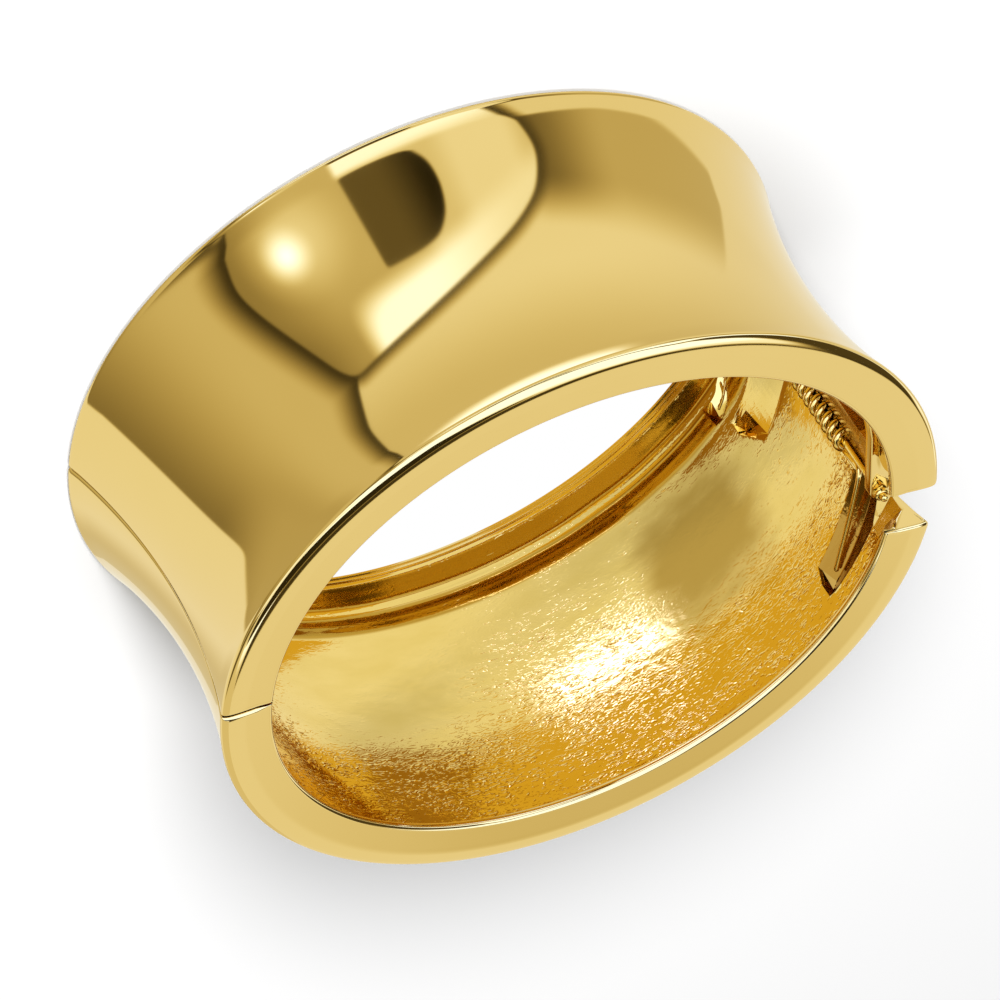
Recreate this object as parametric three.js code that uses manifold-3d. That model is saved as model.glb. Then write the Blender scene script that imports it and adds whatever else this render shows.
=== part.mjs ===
// Oval hinged bangle: two cast half shells with a concave outside, flat rim faces and a spring hinge.
//
// The bangle lies on its side. The origin is the centre of the bottom rim, +Z runs across the
// bangle's width, +X points at the hinge and the upper half is on the +Y side.
// Each half is a piece of one closed ring. The ring is a wall profile swept around an ellipse:
// "offset" is how far a point of the profile lies inside the ellipse of the outer edges.

import * as THREE from 'three';
import { mergeVertices } from 'three/addons/utils/BufferGeometryUtils.js';
import Module from 'manifold-3d';

const wasm = await Module();
wasm.setup();

// ---------------------------------------------------------------- sizes, millimetres and degrees

const LENGTH = 70;              // outside, from the seam to the hinge
const HEIGHT = 61.4;            // outside, across the two halves
const WIDTH = 33.4;             // from rim to rim
const WAIST = 2.33;             // depth of the concave outside at mid width
const EDGE_R = 0.77;            // rounding of the outer edges
const RIM_TOP = 4.75;           // width of the flat face at the top rim
const RIM_BOTTOM = 4.2;         // width of the flat face at the bottom rim
const LIP = 1.0;                // thickness of the rim lips at the opening
const INSIDE = 3.6;             // offset of the inside surface

const SEAM_Y = 1.8;             // height of the butt seam opposite the hinge
const SEAM_GAP = 0.3;

const PIN = { x: 30.75, y: -2.2, radius: 0.38, start: 1.7, end: 31.7 };
const PIN_CLEARANCE = 0.22;     // around the pin in ears and lugs, and past its ends

const CUT_SLOPE = -0.155;       // the two cut ends beside the hinge fall towards the outside
const UPPER_CUT_Y = 0.12;       // height of the upper half's cut end at the pin
const LOWER_CUT_Y = -4.53;      // height of the lower half's cut end at the pin

const KNUCKLE_R = 0.95;         // round ends of ears and lugs, about the pin
const EARS = [{ low: 3.1, high: 4.3 }, { low: 29.1, high: 30.3 }];
const LUGS = [{ low: 0.8, high: 2.8 }, { low: 30.6, high: 32.6 }];

// Spring wire: a leg on the upper half, the coil, a short run under the pin, a leg in the groove.
const WIRE_R = 0.2;
const COIL = { radius: 0.81, low: 8.4, high: 24.7, turns: 15, from: 190, to: 250 };
const UPPER_LEG_END = new THREE.Vector3(28.75, 9.6, 7.2);
const UNDER_PIN = [
  new THREE.Vector3(30.7, -3.05, 25.4),
  new THREE.Vector3(30.7, -3.05, 26.3),
  new THREE.Vector3(30.6, -3.4, 26.7),
];
const LOWER_LEG_END = new THREE.Vector3(27.95, -13.3, 28.3);

// Ridge and hollows of the inside beside each rim, from the lip to the plain inside surface.
const LIP_RELIEF = [
  { fromRim: 1.4, offset: 3.3 },
  { fromRim: 2.1, offset: 2.9 },
  { fromRim: 2.8, offset: 3.3 },
  { fromRim: 3.3, offset: 3.85 },
  { fromRim: 4.1, offset: 3.35 },
  { fromRim: 5.0, offset: INSIDE },
];

// Grooves for the spring legs, in the lower half's inside. Heights are those of the groove's
// bottom edge, its valley and its top edge at each angle around the ellipse.
const GROOVE_OFFSET = 2.35;     // offset of the valley
const GROOVE_MOUTH = 4.4;       // offset at which the cutters end, clear of the inside surface
const TOP_GROOVE = [
  { angle: -4, bottom: 24.6, valley: 26.4, top: 30.1 },
  { angle: -20, bottom: 25.8, valley: 27.6, top: 30.1 },
  { angle: -31.5, bottom: 26.9, valley: 28.6, top: 30.1 },
  { angle: -33, bottom: 28.6, valley: 29.2, top: 29.9 },
];
const BOTTOM_GROOVE = [
  { angle: -4, bottom: 6.2, valley: 10.2, top: 12.6 },
  { angle: -20, bottom: 7.3, valley: 10.4, top: 12.7 },
  { angle: -26.5, bottom: 8.2, valley: 10.6, top: 12.7 },
  { angle: -29.5, bottom: 8.7, valley: 9.1, top: 9.7 },
];

const RING_STEPS = 84;          // facets around the ellipse
const ARC_STEPS = 8;            // facets across the concave outside
const EDGE_STEPS = 3;           // facets of each outer edge

// ---------------------------------------------------------------- helpers

// Point at an angle around the ellipse, moved inwards by the offset.
function ovalPoint(angle, offset, z) {
  const a = LENGTH / 2;
  const b = HEIGHT / 2;
  const c = Math.cos(angle);
  const s = Math.sin(angle);
  const normal = new THREE.Vector2(c / a, s / b).normalize();
  return new THREE.Vector3(a * c - offset * normal.x, b * s - offset * normal.y, z);
}

// Closed body through equal rings of points. A closed loft joins its last ring to its first.
function loft(rings, closed) {
  const count = rings[0].length;
  const index = [];
  const last = closed ? rings.length : rings.length - 1;
  for (let i = 0; i < last; i += 1) {
    const here = i * count;
    const next = ((i + 1) % rings.length) * count;
    for (let j = 0; j < count; j += 1) {
      const k = (j + 1) % count;
      index.push(here + j, next + j, here + k, here + k, next + j, next + k);
    }
  }
  if (!closed) {
    const end = (rings.length - 1) * count;
    for (let j = 1; j < count - 1; j += 1) index.push(0, j, j + 1, end, end + j + 1, end + j);
  }
  const geometry = new THREE.BufferGeometry();
  const points = rings.flat().flatMap((p) => p.toArray());
  geometry.setAttribute('position', new THREE.Float32BufferAttribute(points, 3));
  geometry.setIndex(index);
  return geometry;
}

function toSolid(geometry) {
  const bare = geometry.clone();
  bare.deleteAttribute('normal');
  bare.deleteAttribute('uv');
  const merged = mergeVertices(bare, 1e-4);
  return new wasm.Manifold(new wasm.Mesh({
    numProp: 3,
    vertProperties: new Float32Array(merged.attributes.position.array),
    triVerts: new Uint32Array(merged.index.array),
  }));
}

function toMesh(name, solid, material) {
  const { vertProperties, triVerts } = solid.getMesh();
  const geometry = new THREE.BufferGeometry();
  geometry.setAttribute('position', new THREE.BufferAttribute(new Float32Array(vertProperties), 3));
  geometry.setIndex(new THREE.BufferAttribute(new Uint32Array(triVerts), 1));
  geometry.computeVertexNormals();
  const mesh = new THREE.Mesh(geometry, material);
  mesh.name = name;
  return mesh;
}

function plate(shape, low, high, curveSegments = 10) {
  const options = { depth: high - low, bevelEnabled: false, curveSegments };
  return toSolid(new THREE.ExtrudeGeometry(shape, options).translate(0, 0, low));
}

function rod(x, y, radius, low, high, sides = 20) {
  const geometry = new THREE.CylinderGeometry(radius, radius, high - low, sides);
  return geometry.rotateX(Math.PI / 2).translate(x, y, (low + high) / 2);
}

const cutHeight = (atPin, x) => atPin + CUT_SLOPE * (x - PIN.x);

// ---------------------------------------------------------------- the ring both halves come from

// Outside of the wall profile: an arc that meets the rounded outer edges smoothly.
function outsideProfile() {
  const half = WIDTH / 2 - EDGE_R;
  const outerR = (half * half + WAIST * WAIST) / (2 * WAIST);
  const lean = Math.asin(half / outerR);
  const arcR = outerR - EDGE_R;
  const points = [];
  for (let i = 0; i < EDGE_STEPS; i += 1) {
    const t = Math.PI / 2 - (i / EDGE_STEPS) * (Math.PI / 2 + lean);
    points.push({ offset: EDGE_R * (1 - Math.cos(t)), z: EDGE_R * (1 - Math.sin(t)) });
  }
  for (let i = 0; i <= ARC_STEPS; i += 1) {
    const t = (2 * i / ARC_STEPS - 1) * lean;
    points.push({ offset: WAIST - arcR * (1 - Math.cos(t)), z: WIDTH / 2 + arcR * Math.sin(t) });
  }
  const top = points.slice(0, EDGE_STEPS).reverse();
  return points.concat(top.map((p) => ({ offset: p.offset, z: WIDTH - p.z })));
}

function insideProfile() {
  const top = LIP_RELIEF.map((row) => ({ offset: row.offset, z: WIDTH - row.fromRim }));
  const bottom = LIP_RELIEF.map((row) => ({ offset: row.offset, z: row.fromRim })).reverse();
  return [
    { offset: RIM_TOP, z: WIDTH }, { offset: RIM_TOP, z: WIDTH - LIP },
    ...top, ...bottom,
    { offset: RIM_BOTTOM, z: LIP }, { offset: RIM_BOTTOM, z: 0 },
  ];
}

function ringSolid() {
  const profile = [...outsideProfile(), ...insideProfile()];
  const rings = [];
  for (let i = 0; i < RING_STEPS; i += 1) {
    const angle = (2 * Math.PI * i) / RING_STEPS;
    rings.push(profile.map((p) => ovalPoint(angle, p.offset, p.z)));
  }
  return toSolid(loft(rings, true));
}

// Block that holds everything on one side (+1 upper, -1 lower) of the seam and of the hinge cut.
function halfBlock(side, cutAtPin) {
  const far = LENGTH;
  const seam = SEAM_Y + side * SEAM_GAP / 2;
  const shape = new THREE.Shape([
    new THREE.Vector2(-far, seam),
    new THREE.Vector2(0, seam),
    new THREE.Vector2(0, cutHeight(cutAtPin, 0)),
    new THREE.Vector2(far, cutHeight(cutAtPin, far)),
    new THREE.Vector2(far, side * far),
    new THREE.Vector2(-far, side * far),
  ]);
  return plate(shape, -1, WIDTH + 1);
}

// ---------------------------------------------------------------- hinge knuckles

// Ear of the upper half: a strap on the inside wall that ends round about the pin.
function earShape() {
  const shape = new THREE.Shape();
  shape.moveTo(PIN.x - KNUCKLE_R, PIN.y);
  shape.absarc(PIN.x, PIN.y, KNUCKLE_R, Math.PI, 2 * Math.PI, false);
  shape.lineTo(32.3, cutHeight(UPPER_CUT_Y, 32.3));
  shape.lineTo(32.3, 4);
  shape.lineTo(30.3, 9);
  shape.lineTo(29.0, 8.6);
  shape.lineTo(29.6, 5);
  shape.closePath();
  return shape;
}

// Lug of the lower half: a knuckle on the inside wall, with a sloping back behind the pin.
function lugShape() {
  const shape = new THREE.Shape();
  shape.moveTo(PIN.x + KNUCKLE_R, PIN.y);
  shape.absarc(PIN.x, PIN.y, KNUCKLE_R, 0, Math.PI, false);
  shape.lineTo(29.7, -5.2);
  shape.lineTo(29.4, -8);
  shape.lineTo(31.6, -8);
  shape.lineTo(32.4, -5.2);
  shape.closePath();
  return shape;
}

function pinHole(low, high) {
  return toSolid(rod(PIN.x, PIN.y, PIN.radius + PIN_CLEARANCE, low, high));
}

// ---------------------------------------------------------------- grooves for the spring legs

function grooveCutter(rows) {
  const spread = (GROOVE_MOUTH - GROOVE_OFFSET) / (INSIDE - GROOVE_OFFSET);
  return toSolid(loft(rows.map((row) => {
    const angle = THREE.MathUtils.degToRad(row.angle);
    const bottom = row.valley + (row.bottom - row.valley) * spread;
    const top = row.valley + (row.top - row.valley) * spread;
    return [
      ovalPoint(angle, GROOVE_MOUTH, bottom),
      ovalPoint(angle, GROOVE_MOUTH, top),
      ovalPoint(angle, GROOVE_OFFSET, row.valley),
    ];
  }), false));
}

// ---------------------------------------------------------------- spring

function coilPoint(turn) {
  const angle = THREE.MathUtils.degToRad(COIL.from) + 2 * Math.PI * turn;
  return new THREE.Vector3(
    PIN.x + COIL.radius * Math.cos(angle),
    PIN.y + COIL.radius * Math.sin(angle),
    COIL.low + (COIL.high - COIL.low) * turn / COIL.turns,
  );
}

function springSolid() {
  const points = [];
  for (const t of [0, 0.3, 0.6, 0.85]) {
    points.push(new THREE.Vector3().lerpVectors(UPPER_LEG_END, coilPoint(0), t));
  }
  const lastTurn = COIL.turns + (COIL.to - COIL.from) / 360;
  const samples = Math.round(12 * lastTurn);
  for (let i = 0; i <= samples; i += 1) points.push(coilPoint(lastTurn * i / samples));
  points.push(...UNDER_PIN);
  const legStart = UNDER_PIN[UNDER_PIN.length - 1];
  for (const t of [0.2, 0.6, 1]) {
    points.push(new THREE.Vector3().lerpVectors(legStart, LOWER_LEG_END, t));
  }
  const path = new THREE.CatmullRomCurve3(points, false, 'centripetal');
  const section = new THREE.Shape().absarc(0, 0, WIRE_R, 0, 2 * Math.PI, false);
  const options = { steps: 18 * COIL.turns, curveSegments: 3, extrudePath: path };
  return toSolid(new THREE.ExtrudeGeometry(section, options));
}

// ---------------------------------------------------------------- materials and assembly

const polishedGold = new THREE.MeshStandardMaterial({
  name: 'polished_gold', color: 0xe6c878, metalness: 1, roughness: 0.12,
});
const springGold = new THREE.MeshStandardMaterial({
  name: 'spring_gold', color: 0xd8b868, metalness: 1, roughness: 0.3,
});

const ring = ringSolid();

let upperHalf = ring.intersect(halfBlock(1, UPPER_CUT_Y));
for (const { low, high } of EARS) {
  upperHalf = upperHalf.add(plate(earShape(), low, high)).subtract(pinHole(low - 1, high + 1));
}

let lowerHalf = ring.intersect(halfBlock(-1, LOWER_CUT_Y));
for (const { low, high } of LUGS) lowerHalf = lowerHalf.add(plate(lugShape(), low, high));
lowerHalf = lowerHalf
  .subtract(pinHole(PIN.start - PIN_CLEARANCE, PIN.end + PIN_CLEARANCE))
  .subtract(grooveCutter(TOP_GROOVE))
  .subtract(grooveCutter(BOTTOM_GROOVE));

const pin = toSolid(rod(PIN.x, PIN.y, PIN.radius, PIN.start, PIN.end));

const group = new THREE.Group();
group.name = 'bangle';
group.add(
  toMesh('upper_half', upperHalf, polishedGold),
  toMesh('lower_half', lowerHalf, polishedGold),
  toMesh('hinge_pin', pin, springGold),
  toMesh('hinge_spring', springSolid(), springGold),
);

export default group;
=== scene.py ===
"""Looks of an oval hinged bangle: mirror-polished gold outside, rough cast gold inside, spring hinge.

The two half shells are swept again in fine steps from the wall profile of the CAD part, with
rounded cut ends, rolled lips and the cast inside. Ears, lug, pin and spring follow the same sizes.
"""

import math

import bpy
import numpy as np
from mathutils import Matrix, Vector


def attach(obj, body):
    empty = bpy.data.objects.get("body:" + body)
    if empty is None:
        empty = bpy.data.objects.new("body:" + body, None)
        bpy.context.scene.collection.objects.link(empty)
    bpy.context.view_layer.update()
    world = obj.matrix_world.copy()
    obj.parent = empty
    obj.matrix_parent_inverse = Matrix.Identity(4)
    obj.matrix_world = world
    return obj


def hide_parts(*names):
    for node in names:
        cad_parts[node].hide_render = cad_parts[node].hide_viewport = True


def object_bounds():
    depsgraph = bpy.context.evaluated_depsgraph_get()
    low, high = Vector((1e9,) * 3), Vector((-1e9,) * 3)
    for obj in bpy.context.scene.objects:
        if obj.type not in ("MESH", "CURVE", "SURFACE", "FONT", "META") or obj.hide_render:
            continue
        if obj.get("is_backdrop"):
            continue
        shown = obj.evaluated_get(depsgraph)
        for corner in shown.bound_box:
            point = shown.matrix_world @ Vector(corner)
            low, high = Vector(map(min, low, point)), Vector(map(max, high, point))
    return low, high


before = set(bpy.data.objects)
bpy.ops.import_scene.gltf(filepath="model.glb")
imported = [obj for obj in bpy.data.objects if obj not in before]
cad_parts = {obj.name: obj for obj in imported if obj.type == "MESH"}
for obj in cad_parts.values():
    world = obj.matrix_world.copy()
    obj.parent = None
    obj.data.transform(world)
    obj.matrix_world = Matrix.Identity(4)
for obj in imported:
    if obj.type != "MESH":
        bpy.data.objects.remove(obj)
CAD_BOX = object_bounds()

# ---------------------------------------------------------------- sizes, millimetres and degrees

MM = 0.001                      # metres in a millimetre

LOW = np.array(CAD_BOX[0]) / MM
HIGH = np.array(CAD_BOX[1]) / MM
LENGTH = 70.0                   # outside, from the seam to the hinge
HEIGHT = 61.4                   # outside, across the two halves
WIDTH = HIGH[2] - LOW[2]        # from rim to rim
WAIST = 2.33                    # depth of the concave outside at mid width
FLARE_REACH, FLARE_SLOPE = 1.9, 0.10    # close to the rims the outside flares a little more
EDGE_DOWN, EDGE_IN = 0.9, 2.3   # reach of the outer edges' rounding down the outside and in along the rim
EDGE_PULL = 1.5                 # fullness of that rounding
RIM_TOP = 4.75                  # width of the flat face at the top rim
RIM_BOTTOM = 4.2                # width of the flat face at the bottom rim
RIM_R = 0.3                     # rounding of the inner edges of the rims
LIP = 1.0                       # thickness of the rim lips at the opening
CREASE_TOP, CREASE_BOTTOM = 0.3, 0.5    # distance of the fine crease in the lips from each rim
CREASE_DEPTH, CREASE_REACH = 0.14, 0.1
INSIDE = 3.6                    # offset of the inside surface

SEAM_Y = 1.8                    # height of the butt seam opposite the hinge
SEAM_GAP = 0.3
PIN_X, PIN_Y = 30.75, -2.2      # axis of the hinge
CUT_SLOPE = -0.155              # the two cut ends beside the hinge fall towards the outside
UPPER_CUT_Y = 0.12              # height of the upper half's cut end at the pin
LOWER_CUT_Y = -4.53             # height of the lower half's cut end at the pin

# Hollows and ridges of the inside beside each rim: distance from the rim, offset.
BOTTOM_RELIEF = [
    (1.0, 3.96), (1.35, 3.98), (1.55, 3.85), (2.3, 3.42), (3.1, 3.02), (3.28, 3.0), (3.5, 3.3), (3.8, 3.34),
    (4.4, 3.3), (4.62, 3.42), (5.0, 4.1), (5.2, 4.16), (6.2, 3.9), (7.1, 3.64), (7.5, INSIDE),
]
TOP_RELIEF = [(1.0, 4.45), (1.12, 4.0), (1.25, 3.7), (1.5, INSIDE), (1.8, INSIDE)]

# Steps of the fine mesh.
EDGE_STEPS = 12                 # across the rounding of an outer edge
ARC_STEPS = 34                  # from rim to rim along the outside
ROUND_STEPS = 5                 # across the rounding of a cut end
CAP_RUN = 0.03                  # width of the narrow ring of faces round the flat of a cut end
AROUND_STEP = 0.3               # length of a facet round the ring
INSIDE_STEP = 0.24              # length of a facet across the inside
RELIEF_STEP = 0.12              # length of a facet across the relief beside a rim
HALVINGS = 46                   # of the range in which an angle is searched


# ---------------------------------------------------------------- the oval ring

def oval(angle, offset):
    """x and y of a point at an angle round the ellipse, moved inwards by the offset."""
    a, b = LENGTH / 2, HEIGHT / 2
    c, s = np.cos(angle), np.sin(angle)
    nx, ny = c / a, s / b
    n = np.hypot(nx, ny)
    return a * c - offset * nx / n, b * s - offset * ny / n


def hinge_cut(height):
    """Function of x and y: how far a point lies above the slanted cut that has this height at the pin."""
    length = math.hypot(1, CUT_SLOPE)
    return lambda x, y: (y - height - CUT_SLOPE * (x - PIN_X)) / length


def seam_cut(height):
    """Function of x and y: how far a point lies above the level cut at this height."""
    return lambda x, y: y - height


def angle_at(cut, distance, offset, low, high):
    """Angle between low and high at which a point of that offset has that distance from the cut."""
    low = np.full(np.shape(distance), low, float)
    high = np.full(np.shape(distance), high, float)
    rising = cut(*oval(high, offset)) > cut(*oval(low, offset))
    for _ in range(HALVINGS):
        middle = (low + high) / 2
        over = cut(*oval(middle, offset)) > distance
        go_low = over == rising
        high = np.where(go_low, middle, high)
        low = np.where(go_low, low, middle)
    return (low + high) / 2


def lattice_noise(u, v, seed):
    """Smooth noise with unit cells, from -1 to 1."""
    iu, iv = np.floor(u), np.floor(v)
    fu, fv = u - iu, v - iv
    su, sv = fu * fu * (3 - 2 * fu), fv * fv * (3 - 2 * fv)

    def corner(du, dv):
        wave = np.sin((iu + du) * 12.9898 + (iv + dv) * 78.233 + seed * 37.719) * 43758.5453
        return 2 * (wave - np.floor(wave)) - 1

    low = corner(0, 0) * (1 - su) + corner(1, 0) * su
    high = corner(0, 1) * (1 - su) + corner(1, 1) * su
    return low * (1 - sv) + high * sv


def curve_through(points, at):
    """Smooth cubic curve through (x, y) points with rising x, read at the given x."""
    xs, ys = np.array(points, float).T
    slopes = np.gradient(ys, xs)
    i = np.clip(np.searchsorted(xs, at) - 1, 0, len(xs) - 2)
    h = xs[i + 1] - xs[i]
    t = (at - xs[i]) / h
    return ((1 + 2 * t) * (1 - t) ** 2 * ys[i] + t * (1 - t) ** 2 * h * slopes[i]
            + t * t * (3 - 2 * t) * ys[i + 1] + t * t * (t - 1) * h * slopes[i + 1])


# ---------------------------------------------------------------- wall profile

def outside_curve(end):
    """Concave outside and top edge as arrays (offset, z), for an offset at the start of the edge."""
    half = WIDTH / 2 - EDGE_DOWN
    z = np.linspace(WIDTH / 2, WIDTH - EDGE_DOWN, ARC_STEPS // 2 + 1)
    flare = np.maximum(0, z - WIDTH + FLARE_REACH)
    offset = end + (WAIST - end) * (1 - ((z - WIDTH / 2) / half) ** 2)
    offset = offset - FLARE_SLOPE * flare ** 2 / 2 / (FLARE_REACH - EDGE_DOWN)
    lean = 2 * (WAIST - end) / half + FLARE_SLOPE
    start = np.array([offset[-1], WIDTH - EDGE_DOWN])
    corner = start + (-lean * EDGE_DOWN, EDGE_DOWN)
    stop = corner + (EDGE_IN, 0)
    t = np.linspace(0, 1, EDGE_STEPS + 1)[1:, None]
    pull = 2 * EDGE_PULL * t * (1 - t)
    edge = ((1 - t) ** 2 * start + pull * corner + t ** 2 * stop) / ((1 - t) ** 2 + pull + t ** 2)
    return np.concatenate([offset, edge[:, 0]]), np.concatenate([z, edge[:, 1]])


def outside_points():
    """Bottom outer edge, concave outside and top outer edge, as (offset, z)."""
    end = 0.0
    # A few rounds bring the widest point of the outside to offset 0.
    for _ in range(6):
        end -= outside_curve(end)[0].min()
    offset, z = outside_curve(end)
    upper = list(zip(offset, z))
    return [(o, WIDTH - z) for o, z in reversed(upper[1:])] + upper


def rim_points(rim, crease):
    """Flat face, rounded inner edge and creased lip of a rim, from outside in.

    The points are (offset, distance from the rim).
    """
    points = [(offset, 0) for offset in np.linspace(EDGE_IN, rim - RIM_R - 0.3, 5)]
    points += [(rim - RIM_R - 0.05, 0)]
    for i in range(5):
        t = i / 4 * math.pi / 2
        points.append((rim - RIM_R + RIM_R * math.sin(t), RIM_R - RIM_R * math.cos(t)))
    deep = rim - CREASE_DEPTH
    points += [(rim, crease - CREASE_REACH), (deep, crease - 0.03), (deep, crease + 0.03)]
    points += [(rim - 0.06, crease + CREASE_REACH), (rim - 0.1, LIP - 0.18), (rim - 0.24, LIP - 0.05)]
    return points


def relief_points(relief):
    """Relief beside a rim, from the lip to the plain inside: (offset, distance from rim)."""
    first, last = relief[0][0], relief[-1][0]
    at = np.linspace(first, last, round((last - first) / RELIEF_STEP) + 1)
    return list(zip(curve_through(relief, at), at))


def wall_profile():
    """Closed profile as arrays: offset, z, and whether each point belongs to the cast inside."""
    outside = outside_points()
    top = [(o, WIDTH - z) for o, z in rim_points(RIM_TOP, CREASE_TOP)]
    top_relief = [(o, WIDTH - z) for o, z in relief_points(TOP_RELIEF)]
    bottom = list(reversed(rim_points(RIM_BOTTOM, CREASE_BOTTOM)))
    bottom_relief = list(reversed(relief_points(BOTTOM_RELIEF)))
    high, low = top_relief[-1][1], bottom_relief[0][1]
    inner = np.linspace(high, low, round((high - low) / INSIDE_STEP) + 1)[1:-1]
    cast = top_relief + [(INSIDE, z) for z in inner] + bottom_relief
    points = outside + top + cast + bottom
    inside = [False] * len(outside + top) + [True] * len(cast) + [False] * len(bottom)
    offset, z = np.array(points, float).T
    return offset, z, np.array(inside)


def inward_normals(offset, z):
    """Unit directions into the wall at each point of the closed profile."""
    along_o = np.roll(offset, -1) - np.roll(offset, 1)
    along_z = np.roll(z, -1) - np.roll(z, 1)
    length = np.hypot(along_o, along_z)
    return along_z / length, -along_o / length


# ---------------------------------------------------------------- meshes

def outwards(mesh):
    """Turns all faces of a closed mesh outwards."""
    mesh.calc_loop_triangles()
    corners = np.empty(len(mesh.loop_triangles) * 3, np.int32)
    mesh.loop_triangles.foreach_get("vertices", corners)
    points = np.empty(len(mesh.vertices) * 3, np.float32)
    mesh.vertices.foreach_get("co", points)
    a, b, c = points.reshape(-1, 3)[corners.reshape(-1, 3)].astype(float).transpose(1, 0, 2)
    if np.einsum("ij,ij->", a, np.cross(b, c)) < 0:
        mesh.flip_normals()


def new_piece(name, points, faces, body, materials, face_material=None):
    """Smooth-shaded mesh object from points in millimetres, riding on a body."""
    mesh = bpy.data.meshes.new(name)
    mesh.from_pydata((np.asarray(points, float) * MM).tolist(), [], faces)
    for material in materials:
        mesh.materials.append(material)
    if face_material is not None:
        mesh.polygons.foreach_set("material_index", np.asarray(face_material, np.int32))
    mesh.shade_smooth()
    outwards(mesh)
    piece = bpy.data.objects.new(name, mesh)
    bpy.context.scene.collection.objects.link(piece)
    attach(piece, body)
    return piece


def bake_modifiers(piece):
    """Replaces the piece's mesh by the result of its modifiers."""
    bpy.context.view_layer.update()
    graph = bpy.context.evaluated_depsgraph_get()
    result = bpy.data.meshes.new_from_object(piece.evaluated_get(graph))
    piece.modifiers.clear()
    piece.data = result


def carve(piece, cutters):
    """Cuts the cutters out of the piece and removes them."""
    for cutter in cutters:
        modifier = piece.modifiers.new("carve", "BOOLEAN")
        modifier.operation = "DIFFERENCE"
        modifier.solver = "MANIFOLD"
        modifier.object = cutter
    bake_modifiers(piece)
    for cutter in cutters:
        bpy.data.objects.remove(cutter)


def crinkle(u, v):
    """Height of the cast inside at u, v millimetres round and across: fine creases and low waves."""
    warp = 0.9 * lattice_noise(u / 3.1, v / 2.3, 3)
    creases = 1 - 2 * np.abs(lattice_noise(u / 1.4 + warp, v / 0.65 - warp, 1))
    ripples = lattice_noise(u / 1.0, v / 0.55, 2)
    waves = lattice_noise(u / 6.5, v / 4.5, 4)
    patches = 0.55 + 0.45 * lattice_noise(u / 11.0, v / 7.0, 5)
    return patches * (0.009 * creases + 0.004 * ripples) + 0.015 * waves


def half_shell(name, body, node, hinge_end, seam_end, materials):
    """One half of the ring between its hinge cut and its seam, both with rounded edges.

    Each end is (cut function, sign of its inner side, lowest angle, highest angle, rounding function).
    """
    offset, z, inside = wall_profile()
    into_o, into_z = inward_normals(offset, z)

    def end_stations(end):
        cut, side, low, high, rounding = end
        radius = rounding(offset, z, inside, into_o)
        rows = []
        for k in range(-1, ROUND_STEPS + 1):
            t = max(k, 0) / ROUND_STEPS * math.pi / 2
            inset = radius * (1 - math.sin(t)) + (CAP_RUN if k < 0 else 0)
            moved = offset + inset * into_o
            angle = angle_at(cut, side * radius * (1 - math.cos(t)), moved, low, high)
            rows.append((angle, moved, z + inset * into_z))
        return rows

    first, last = end_stations(hinge_end), end_stations(seam_end)
    start, stop = first[-1][0], last[-1][0]
    middle = (LENGTH + HEIGHT) / 4
    count = round(float(np.mean(np.abs(stop - start))) * middle / AROUND_STEP)
    between = [(start + (stop - start) * i / count, offset, z) for i in range(1, count)]
    stations = first + between + last[::-1]

    angle = np.array([s[0] for s in stations])
    depth = np.array([s[1] for s in stations])
    across = np.array([s[2] for s in stations])
    u = angle * middle
    fade = np.minimum(np.arange(len(stations)), np.arange(len(stations))[::-1]) / (ROUND_STEPS + 3)
    weight = inside * np.clip(fade, 0, 1)[:, None]
    # The relief beside the bottom rim waves a little, and its crinkle is weaker than the plain inside's.
    ridge = np.clip(1.4 - np.abs(z - 4.4) / 2.8, 0, 1)
    plain = np.clip((z - 6.5) / 1.5, 0.25, 1)
    uneven = 0.07 * ridge * lattice_noise(u / 4.0, across / 2.0, 6)
    depth = depth + weight * (plain * crinkle(u, across) + uneven)
    x, y = oval(angle, depth)
    points = np.stack([x, y, across], -1).reshape(-1, 3)

    n = len(offset)
    faces, kinds = [], []
    kind = (inside & np.roll(inside, -1)).astype(int)
    for i in range(len(stations) - 1):
        for j in range(n):
            k = (j + 1) % n
            quad = (i * n + j, (i + 1) * n + j, (i + 1) * n + k, i * n + k)
            faces.append(quad)
            kinds.append(kind[j])
    end = (len(stations) - 1) * n
    caps = [tuple(range(n)), tuple(end + j for j in range(n))[::-1]]
    faces += caps
    # The seam's cut face takes the dark groove-wall colour: painted shade in the seam's gap.
    kinds += [0, 2]
    piece = new_piece(name, points, faces, body, materials, kinds)
    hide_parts(node)
    return piece


# ---------------------------------------------------------------- hinge and spring sizes

PIN_R = 0.38
PIN_LOW, PIN_HIGH = 1.7, 31.2
EARS = [(3.1, 4.3), (29.1, 30.3)]       # low and high side of each ear
BOTTOM_LUG = (0.8, 2.8)         # low and high side of the lug
KNUCKLE_R = 0.95                # round ends of the ears, about the pin
WIRE_R = 0.2                    # of the leg on the upper half
LOWER_LEG_R = 0.26
COIL_WIRE_R = 0.4
COIL_R, COIL_LOW, COIL_HIGH, COIL_TURNS = 0.80, 8.4, 23.4, 13
COIL_FROM, COIL_TO = 190, 250   # angles round the pin of the wire's start and end
COVER = {"inner": 1.3, "outer": 1.55, "to": 20, "top": 88}      # radii and angles round the pin
COVER_SIDE, COVER_BACK, COVER_HEIGHT = 30.78, 32.3, 1.4     # x of inner side and back, y of the top
COVER_LOW, COVER_HIGH = EARS[0][1] - 0.2, EARS[1][0] + 0.2
COVER_STEP = 26.0               # above this the cover ends short, clear of the spring's leg
# Parts of the cover: name, angle where it starts, low and high end.
COVER_PARTS = [
    ("hinge_cover", -50, COVER_LOW, COVER_STEP),
    ("hinge_cover_top", -33, COVER_STEP - 0.02, COVER_HIGH),
]
RING = {"inner": 0.4, "outer": 0.72, "low": 30.3, "high": 31.0}
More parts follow.
